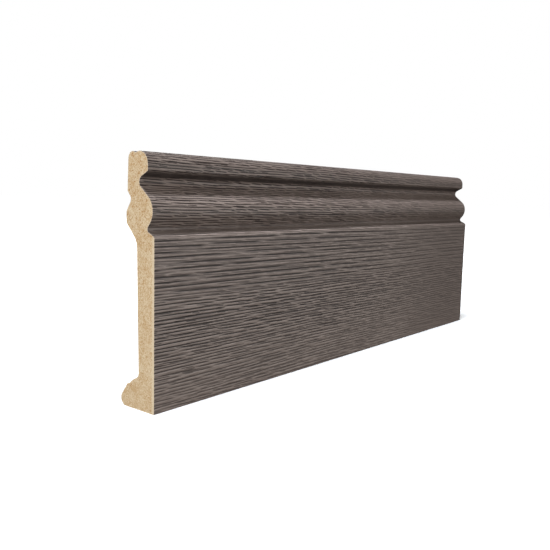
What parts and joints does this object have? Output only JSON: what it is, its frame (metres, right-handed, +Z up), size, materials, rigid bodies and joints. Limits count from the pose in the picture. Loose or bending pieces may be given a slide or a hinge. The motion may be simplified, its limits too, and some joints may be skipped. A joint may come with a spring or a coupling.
{
  "type": "skirting board",
  "caption": "Short length of skirting board: flat face under an ogee and bead, woodgrain foil over a fibreboard core, with a cable recess behind and a flat foot.",
  "frame": {"origin": "centre of the bounding box in plan, at the level of the underside", "axes": "+X along the length of the board, away from the pictured cut end; +Y from the decorated face towards the wall; +Z up"},
  "size_m": [0.224, 0.016, 0.08],
  "materials": {
    "fibreboard": "raw sawn medium-density fibreboard, tan with fine brown fibres",
    "foil": "matt embossed oak-pattern decor foil, dark grey-brown"
  },
  "bodies": {
    "root": {"fibreboard_core": "fibreboard", "woodgrain_foil": "foil"}
  },
  "joints": []
}
